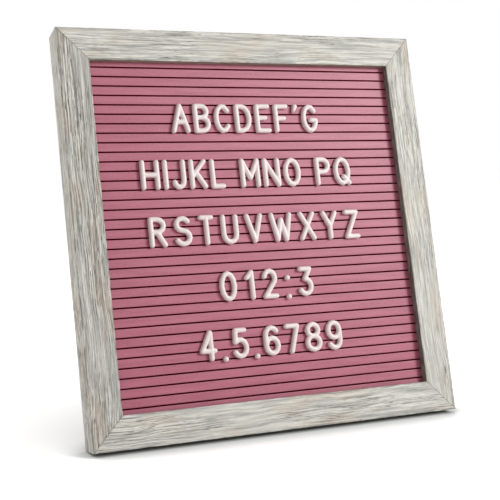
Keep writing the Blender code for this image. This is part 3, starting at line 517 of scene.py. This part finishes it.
# %% One fold
FELT_THICKNESS = 0.8 * MM
SLOT_HALF, SLOT_DEPTH = 0.45 * MM, 3.4 * MM
ROLL, FLOOR_ROUND = 0.2 * MM, 0.3 * MM  # radii at the slot's mouth and at its floor
RIDGE_POINTS, ROLL_POINTS = 4, 4
COLUMNS = 40  # across the sheet
sheet_width = felt_high.x - felt_low.x

# The node's slot floors give the place of each slot. Each floor has a lower and an upper edge.
felt_points = [board_place.inverted() @ v.co for v in nodes["felt_face"].data.vertices]
floor_depth = felt_low.y + SLOT_DEPTH
floors = sorted({round(p.z / MM, 2) for p in felt_points if abs(p.y - floor_depth) < 0.05 * MM})
slots = len(floors) // 2
PITCH = (floors[-1] - floors[1]) / (slots - 1) * MM
lowest_groove = (floors[0] + floors[1]) / 2 * MM


def fold_face():
    """The felt's face over one fold, as (depth, height). The slot is in the middle."""
    mouth = PITCH / 2 - SLOT_HALF
    angles = [math.radians(90 * i / ROLL_POINTS) for i in range(ROLL_POINTS + 1)]
    ridge = [(0.0, mouth * i / RIDGE_POINTS) for i in range(RIDGE_POINTS)]
    roll = [(ROLL - ROLL * math.cos(a), mouth - ROLL + ROLL * math.sin(a)) for a in angles]
    floor = [(SLOT_DEPTH - FLOOR_ROUND + FLOOR_ROUND * math.sin(a),
              mouth + FLOOR_ROUND - FLOOR_ROUND * math.cos(a)) for a in angles]
    lower = [point for point in ridge if point[1] < mouth - ROLL] + roll + floor
    return lower + [(depth, PITCH - height) for depth, height in reversed(lower)]


def fold_back():
    """The felt's back over the same fold. It lies in the core's channel."""
    side = PITCH / 2 - SLOT_HALF - FELT_THICKNESS
    deep = SLOT_DEPTH + FELT_THICKNESS
    return [(FELT_THICKNESS, 0.0), (FELT_THICKNESS, side), (deep, side),
            (deep, PITCH - side), (FELT_THICKNESS, PITCH - side), (FELT_THICKNESS, PITCH)]


def fold_mesh():
    """One fold with its face, its back and its two ends. Faces inside the slot are marked creased."""
    work = bmesh.new()
    sides = []
    for line in (fold_face(), fold_back()):
        columns = [[work.verts.new((sheet_width * (c / COLUMNS - 0.5), y, z)) for y, z in line]
                   for c in range(COLUMNS + 1)]
        for near, far in zip(columns, columns[1:]):
            for i in range(len(line) - 1):
                work.faces.new((near[i], near[i + 1], far[i + 1], far[i]))
        sides.append(columns)
    for end in (0, -1):
        work.faces.new(sides[0][end] + sides[1][end][::-1])
    creased = work.faces.layers.float.new("creased")
    for face in work.faces:
        face[creased] = float(all(v.co.y > ROLL * 0.5 for v in face.verts))
    return plain_mesh(work, "felt_fold")


print(f"{slots} slots, {PITCH / MM:.3f} mm apart, the lowest {lowest_groove / MM:.2f} mm up the board")

# %% [markdown]
# ### The fold, repeated
# The tree has the count, the pitch and the two finishes as its inputs. Each face of the fold carries
# a mark that says whether it lies inside a slot, and the tree gives those faces the felt with painted
# shade, which stands for the shade deep in the slots.


# %% Repeat the fold up the board
def new_tree(name, inputs, output):
    """A Geometry Nodes tree with named inputs and one geometry output, and its input sockets."""
    tree = bpy.data.node_groups.new(name, "GeometryNodeTree")
    for label, kind in inputs.items():
        tree.interface.new_socket(label, in_out="INPUT", socket_type="NodeSocket" + kind)
    tree.interface.new_socket(output, in_out="OUTPUT", socket_type="NodeSocketGeometry")
    return tree, add(tree, "NodeGroupInput").outputs


def run_tree(mesh, name, tree, inputs):
    """Runs a node tree on a mesh and gives the plain mesh that comes out."""
    source = in_scene(name, mesh)
    modifier = source.modifiers.new(name, "NODES")
    modifier.node_group = tree
    for socket in tree.interface.items_tree:
        if socket.in_out == "INPUT" and socket.name in inputs:
            modifier[socket.identifier] = inputs[socket.name]
    return applied(source, name)


WANDER, WANDER_LENGTH = 0.12 * MM, 9 * MM  # how far the surface strays, and over what length
WELD = 0.01 * MM

folds, given = new_tree("repeat_folds", {
    "Fold": "Geometry", "Slots": "Int", "Pitch": "Float", "Wander": "Float", "Felt": "Material",
    "Slot shade felt": "Material"}, "Sheet")
rise = add(folds, "ShaderNodeCombineXYZ", {"Z": given["Pitch"]})
stack = add(folds, "GeometryNodeMeshLine", {"Count": given["Slots"], "Offset": rise.outputs[0]})
copies = add(folds, "GeometryNodeInstanceOnPoints", {"Points": stack.outputs[0], "Instance": given["Fold"]})
solid = add(folds, "GeometryNodeRealizeInstances", {"Geometry": copies.outputs[0]})
welded = add(folds, "GeometryNodeMergeByDistance", {"Geometry": solid.outputs[0], "Distance": WELD})
waves = add(folds, "ShaderNodeTexNoise", {"Scale": 1 / WANDER_LENGTH, "Detail": 2.0})
centred = vector_maths(folds, "SUBTRACT", waves.outputs["Color"], (0.5, 0.5, 0.5))
shift = add(folds, "ShaderNodeVectorMath", {0: centred, "Scale": given["Wander"]}, operation="SCALE")
soft = add(folds, "GeometryNodeSetPosition", {"Geometry": welded.outputs[0], "Offset": shift.outputs[0]})
covered = add(folds, "GeometryNodeSetMaterial", {"Geometry": soft.outputs[0], "Material": given["Felt"]})
inside = add(folds, "GeometryNodeInputNamedAttribute", {"Name": "creased"}, data_type="FLOAT")
marked = add(folds, "FunctionNodeCompare", {0: inside.outputs[0], 1: 0.5}, operation="GREATER_THAN")
# Faces inside the slots take the felt with painted shade.
slot_shade_set = add(folds, "GeometryNodeSetMaterial", {
    "Geometry": covered.outputs[0], "Selection": marked.outputs[0], "Material": given["Slot shade felt"]})
add(folds, "NodeGroupOutput", {0: slot_shade_set.outputs[0]})

sheet = run_tree(fold_mesh(), "folded_felt", folds, {
    "Slots": slots, "Pitch": PITCH, "Wander": WANDER, "Felt": pink_felt, "Slot shade felt": slot_shade_felt})
print("felt repeated:", len(sheet.polygons), "faces")

# %% [markdown]
# ### The sheet, closed and put in place
# The stack of folds is open at its top and bottom, so both ends are closed. The sheet is then put in
# its place. Its flat size is the cloth that a maker has to cut: for each slot one pitch of felt, and
# twice the slot's depth.

# %% Close the sheet and put it in place
in_slot = sheet.materials.find(slot_shade_felt.name)
work = bmesh.new()
work.from_mesh(sheet)
for face in work.faces:
    face.material_index = int(face.material_index == in_slot)
print(sum(face.material_index for face in work.faces), "faces of the sheet lie in its slots")
bmesh.ops.holes_fill(work, edges=[e for e in work.edges if e.is_boundary])
bmesh.ops.recalc_face_normals(work, faces=work.faces)
work.to_mesh(sheet)
work.free()
sheet.transform(Matrix.Translation((0, felt_low.y, lowest_groove - PITCH / 2)))
sheet.transform(board_place)
felt = new_piece("folded_felt", sheet, [pink_felt, slot_shade_felt], stands_for=("felt_face",),
                 smooth=60)

# %% [markdown]
# ## Finish: moulded white plastic
# The characters are injection moulded, most likely in ABS. That gives a clean white with a soft
# sheen, a trace of light passing into the thin edges, and a very slight ripple where the plastic
# shrank as it cooled. A pure white would leave no room for shading, so the colour stays below it.
# It also leans a little to pink: painted light, for the pink light that the felt throws onto them.

# %% White plastic
# Both whites lean to pink: painted light for the light bounced off the pink felt.
PLASTIC_WHITE_FELT_BOUNCE, PLASTIC_DULL_FELT_BOUNCE = "#EBDEDC", "#E4D5D4"
RIPPLE_MM, RIPPLE_RELIEF = (2.5, 2.5, 2.5), 0.1 * MM

white_plastic, tree, place = new_finish("moulded_white_abs")
ripple = stretched_noise(tree, place, RIPPLE_MM, 1.0)
complete(white_plastic, mixed(tree, ripple, PLASTIC_DULL_FELT_BOUNCE, PLASTIC_WHITE_FELT_BOUNCE), ripple, 0.25, RIPPLE_RELIEF, {
    "Roughness": 0.36, "IOR": 1.54, "Subsurface Weight": 0.08, "Subsurface Radius": (1.0, 0.9, 0.8),
    "Subsurface Scale": 1.0 * MM})
print("plastic:", white_plastic.name)

# %% [markdown]
# ## The characters
# A mould can't cut a sharp inside corner, so strokes run into each other with a small fillet, and
# the crown of each stroke is round. The solid model has facets and sharp joints. Building every
# fillet by hand would be slow, so each character is remeshed into small even faces and then
# smoothed, which rounds the crowns and fills the corners all at once, in the same place.

# %% Rounded characters
VOXEL = 0.27 * MM
SMOOTHING, SMOOTH_ROUNDS = 0.5, 8
SWELL = 0.05 * MM  # gives back what the smoothing takes off

moulded = ("letter_", "digit_", "apostrophe", "colon", "full_stop")
character_nodes = sorted(n for n in nodes if n.startswith(moulded))
faces = 0
for name in character_nodes:
    source = merged_copy(name)
    remesh = source.modifiers.new("even_faces", "REMESH")
    remesh.mode = "VOXEL"
    remesh.voxel_size = VOXEL
    smoothing = source.modifiers.new("round_off", "SMOOTH")
    smoothing.factor, smoothing.iterations = SMOOTHING, SMOOTH_ROUNDS
    swelling = source.modifiers.new("keep_size", "DISPLACE")
    swelling.mid_level, swelling.strength = 0.0, SWELL
    mesh = applied(source, "moulded_" + name)
    new_piece("moulded_" + name, mesh, white_plastic, stands_for=(name,), smooth=180)
    faces += len(mesh.polygons)
print(len(character_nodes), "characters,", faces, "faces")

# %% [markdown]
# ## Finishes behind the frame
# The leg is sanded pine with its grain running up it. The back is hardboard, wood fibre pressed
# hard: an even dark brown with tiny flecks. The bracket, screws and nails are steel with a thin
# coat of zinc, which gives a soft grey shine with faint cloudy crystals. The core is dull grey
# plastic, and hardly shows.

# %% Pine, hardboard, zinc and core plastic
PINE_PALE, PINE_RING = "#DDBD8E", "#BF935C"
HARDBOARD_DARK, HARDBOARD_LIGHT = "#5A4030", "#7A5B43"
ZINC_DARK, ZINC_LIGHT = "#9A9C9C", "#C4C6C5"
CORE_DARK, CORE_LIGHT = "#3A3838", "#4A4747"
RING_MM, FLECK_MM, CRYSTAL_MM = (60.0, 6.0, 2.2), (0.9, 0.9, 0.9), (1.6, 1.6, 1.6)
DRAW_MM = (20.0, 0.6, 0.6)  # the lines that the die draws along an extrusion


def two_tone(name, low, high, size_mm, turn, detail, roughness, depth, metallic=0.0):
    """A finish that clouds from one colour to another, with the same pattern as fine relief."""
    made, tree, place = new_finish(name, turn)
    cloud = stretched_noise(tree, place, size_mm, detail)
    colour = mixed(tree, level(tree, cloud, 0.35, 0.65), low, high)
    return complete(made, colour, cloud, 0.4, depth, {"Roughness": roughness, "Metallic": metallic})


hinge = next(j for j in frame["joints"] if j["name"] == "leg_hinge")
leg_tilt = math.radians(-hinge["range_deg"][0]) - lean
pine = two_tone("sanded_pine", PINE_RING, PINE_PALE, RING_MM, (-leg_tilt, math.pi / 2, 0.0),
                4.0, 0.62, 0.10 * MM)
hardboard = two_tone("pressed_hardboard", HARDBOARD_DARK, HARDBOARD_LIGHT, FLECK_MM, ALONG_X,
                     5.0, 0.55, 0.05 * MM)
zinc = two_tone("zinc_plated_steel", ZINC_DARK, ZINC_LIGHT, CRYSTAL_MM, ALONG_X,
                2.0, 0.32, 0.02 * MM, metallic=1.0)
core_plastic = two_tone("extruded_core_plastic", CORE_DARK, CORE_LIGHT, DRAW_MM, ALONG_X,
                        2.0, 0.6, 0.05 * MM)
print(f"the open leg stands {math.degrees(leg_tilt):.1f} degrees off upright")

# %% [markdown]
# ## Leg, bracket and backing with eased edges
# Sawn wood is sanded and stamped steel has a burr rolled off it, so no edge on the real pieces is
# perfectly sharp. A thin bevel on each outer edge catches the light and shows how thick a piece
# is. It is added to a merged copy of each solid, which keeps every size. The screws, the nails and
# the core are small or hidden, so they keep their solids and only take a finish.

# %% Eased edges
EASED = {  # node: (edge radius, finish, record slot, body, smooth below this angle)
    "stand_leg": (0.7 * MM, pine, "leg_wood", "leg", 20),
    "hinge_bracket": (0.18 * MM, zinc, "zinc_steel", "board", 35),
    "sawtooth_hanger": (0.12 * MM, zinc, "zinc_steel", "board", 35),
    "hinge_pin": (0.15 * MM, zinc, "zinc_steel", "board", 35),
    "backing_board": (0.25 * MM, hardboard, "hardboard", "board", 20),
}
for name, (radius, finish, slot, body, smooth) in EASED.items():
    source = merged_copy(name)
    bevel = source.modifiers.new("eased", "BEVEL")
    bevel.width, bevel.segments = radius, 2
    bevel.limit_method, bevel.angle_limit = "ANGLE", math.radians(35)
    mesh = applied(source, "eased_" + name)
    new_piece("eased_" + name, mesh, finish, body=body, stands_for=(name,), smooth=smooth)

kept = {name: zinc for name in nodes if name.startswith(("bracket_screw", "hanger_nail"))}
kept["grooved_core"] = core_plastic
for name, finish in kept.items():
    nodes[name].data.materials.clear()
    nodes[name].data.materials.append(finish)
print(len(EASED), "pieces eased,", len(kept), "solids kept as they are")

# %% [markdown]
# ## Framer's points
# Flat steel points, driven into the side of the rebate, keep the backing in the frame. Two sit on
# each rail. Geometry Nodes place a pair on one rail, and then turn that pair round the frame's
# middle four times, so the count and the spacing can be changed in one place.

# %% Points round the rebate
POINT_LENGTH, POINT_WIDTH, POINT_THICK = 14.0 * MM, 6.0 * MM, 0.5 * MM
POINT_CORNER = 1.0 * MM  # cut off the two corners of the free end
POINT_SPACING = 110.0 * MM
BITE = 4.0 * MM  # how much of a point is in the rail
POINT_LIFT = 0.02 * MM  # off the backing board


def point_mesh():
    """One point, lying along Z from the rail inwards, with its driven end cut to a tip."""
    half, end = POINT_WIDTH / 2, POINT_LENGTH - BITE
    outline = [(-half, 0), (0, -BITE), (half, 0), (half, end - POINT_CORNER), (half - POINT_CORNER, end),
               (POINT_CORNER - half, end), (-half, end - POINT_CORNER)]
    work = bmesh.new()
    faces = [[work.verts.new((x, y, z)) for x, z in outline] for y in (0.0, POINT_THICK)]
    for i in range(len(outline)):
        j = (i + 1) % len(outline)
        work.faces.new((faces[0][i], faces[0][j], faces[1][j], faces[1][i]))
    for face in faces:
        work.faces.new(face)
    bmesh.ops.recalc_face_normals(work, faces=work.faces)
    return plain_mesh(work, "framers_point")


points, given = new_tree("points_round_frame", {
    "Point": "Geometry", "On each rail": "Int", "Spacing": "Float", "Wall": "Float",
    "Steel": "Material"}, "Points")
half_row = maths(points, "MULTIPLY", given["Spacing"], -0.5)
drop = maths(points, "MULTIPLY", given["Wall"], -1.0)
start = add(points, "ShaderNodeCombineXYZ", {"X": half_row, "Z": drop})
gap = add(points, "ShaderNodeCombineXYZ", {"X": given["Spacing"]})
row = add(points, "GeometryNodeMeshLine", {
    "Count": given["On each rail"], "Start Location": start.outputs[0], "Offset": gap.outputs[0]})
pair = add(points, "GeometryNodeInstanceOnPoints", {"Points": row.outputs[0], "Instance": given["Point"]})
rail_count = add(points, "GeometryNodeMeshLine", {"Count": len(RAILS), "Offset": (0, 0, 0)})
number = add(points, "GeometryNodeInputIndex")
angle = maths(points, "MULTIPLY", number.outputs[0], math.pi / 2)
turn = add(points, "ShaderNodeCombineXYZ", {"Y": angle})
ring = add(points, "GeometryNodeInstanceOnPoints", {
    "Points": rail_count.outputs[0], "Instance": pair.outputs[0], "Rotation": turn.outputs[0]})
solid = add(points, "GeometryNodeRealizeInstances", {"Geometry": ring.outputs[0]})
coated = add(points, "GeometryNodeSetMaterial", {"Geometry": solid.outputs[0], "Material": given["Steel"]})
add(points, "NodeGroupOutput", {0: coated.outputs[0]})

driven = run_tree(point_mesh(), "framers_points", points, {
    "On each rail": 2, "Spacing": POINT_SPACING, "Wall": board / 2 - rebate, "Steel": zinc})
backing_back = board_box("backing_board")[1].y
driven.transform(Matrix.Translation((0, backing_back + POINT_LIFT, board / 2)))
driven.transform(board_place)
new_piece("framers_points", driven, zinc, smooth=30)
print("framer's points:", len(driven.polygons), "faces")

# %% [markdown]
# ## Floor and background
# The board stands on a white sweep, so the floor and the distance have no line between them. The
# camera sees a plain white world. The floor is pale and takes the board's shadow. A glow that only
# the camera and reflections see lifts its open parts to the same white. Near the board the glow fades
# out and the paper's colour darkens in the last 30 mm. Both are painted shade, which gives the contact
# shadow.

# %% White sweep
FLOOR_HALF = 3.0
PAPER_WHITE, CONTACT_SHADOW_GREY = "#F2F2F0", "#A8ABA8"
FLOOR_GLOW, FADE_POWER = 0.63, 1.7
GLOW_FADE, CONTACT = 0.16, 0.03  # metres from the board
SHADED_AT, CLEAR_AT = 0.68, 0.90  # how open the floor is where it is darkest, and where it is white

floor_mesh = bpy.data.meshes.new("floor")
corners = [(-FLOOR_HALF, -FLOOR_HALF, 0), (FLOOR_HALF, -FLOOR_HALF, 0),
           (FLOOR_HALF, FLOOR_HALF, 0), (-FLOOR_HALF, FLOOR_HALF, 0)]
floor_mesh.from_pydata(corners, [], [(0, 1, 2, 3)])
floor = in_scene("floor", floor_mesh)
paper = bpy.data.materials.new("white_paper_sweep")
paper.use_nodes = True
tree = paper.node_tree
# The darker paper and the fading glow near the board are a painted contact shadow.
near = add(tree, "ShaderNodeAmbientOcclusion", {"Distance": CONTACT})
clear = level(tree, near.outputs["AO"], SHADED_AT, CLEAR_AT)
openness = add(tree, "ShaderNodeAmbientOcclusion", {"Distance": GLOW_FADE})
faded = maths(tree, "POWER", openness.outputs["AO"], FADE_POWER)
glow = maths(tree, "MULTIPLY", seen_directly(tree), maths(tree, "MULTIPLY", faded, FLOOR_GLOW))
shader = tree.nodes["Principled BSDF"]
tree.links.new(mixed(tree, clear, CONTACT_SHADOW_GREY, PAPER_WHITE), shader.inputs["Base Color"])
tree.links.new(glow, shader.inputs["Emission Strength"])
shader.inputs["Emission Color"].default_value = (1, 1, 1, 1)
shader.inputs["Roughness"].default_value = 0.9
floor_mesh.materials.append(paper)
print("floor", 2 * FLOOR_HALF, "m wide")

# %% [markdown]
# ## Light
# A soft lamp stands in front, above and to the right, so each character throws a soft shadow to its
# left and the felt grows a little paler to the right. A pale panel stands to the left and a little
# behind, and lights the frame's outer side alone. The white room lights the rest from all sides.

# %% World and lamps
ROOM_LIGHT = 0.36
LAMPS = {  # name: (watts, size in metres, place)
    "key_softbox": (16.0, 0.45, Vector((0.95, -1.0, 0.78))),
    "side_panel": (3.3, 0.4, Vector((-0.8, 0.26, 0.62))),
}
AIM = Vector((0.0, 0.0, 0.12))

world = bpy.data.worlds.new("white_room")
bpy.context.scene.world = world
world.use_nodes = True
tree = world.node_tree
background = tree.nodes["Background"]
background.inputs["Color"].default_value = (1, 1, 1, 1)
strength = level(tree, seen_directly(tree), 0.0, 1.0, ROOM_LIGHT, 1.0)
tree.links.new(strength, background.inputs["Strength"])

for name, (watts, size, place) in LAMPS.items():
    lamp = bpy.data.lights.new(name, "AREA")
    lamp.energy, lamp.size = watts, size
    stand = bpy.data.objects.new(name, lamp)
    stand.location = place
    stand.rotation_euler = (AIM - place).to_track_quat("-Z", "Y").to_euler()
    bpy.context.scene.collection.objects.link(stand)
bpy.context.scene.view_settings.view_transform = "Standard"
print("lamps:", ", ".join(LAMPS))

# %% [markdown]
# ## Camera
# The photograph was taken from the left at about two thirds of the board's height, with a long
# lens. Its place was worked out from the frame's corners. The picture is cropped off centre, and a
# small lens shift gives the same crop without tilting the view.

# %% Camera
LENS_MM, SENSOR_MM = 89.99, 36.0
SHIFT = (0.0447, -0.0922)
CAMERA_PLACE = Vector((-0.37174, -0.71142, 0.19267))
CAMERA_LOOK = Vector((0.44528, 0.89291, -0.06655))

lens = bpy.data.cameras.new("photo_view")
lens.lens, lens.sensor_width = LENS_MM, SENSOR_MM
lens.shift_x, lens.shift_y = SHIFT
camera = bpy.data.objects.new("photo_view", lens)
camera.location = CAMERA_PLACE
camera.rotation_euler = CAMERA_LOOK.to_track_quat("-Z", "Y").to_euler()
bpy.context.scene.collection.objects.link(camera)
bpy.context.scene.camera = camera
print(f"camera {CAMERA_PLACE.length:.2f} m from the board's foot")
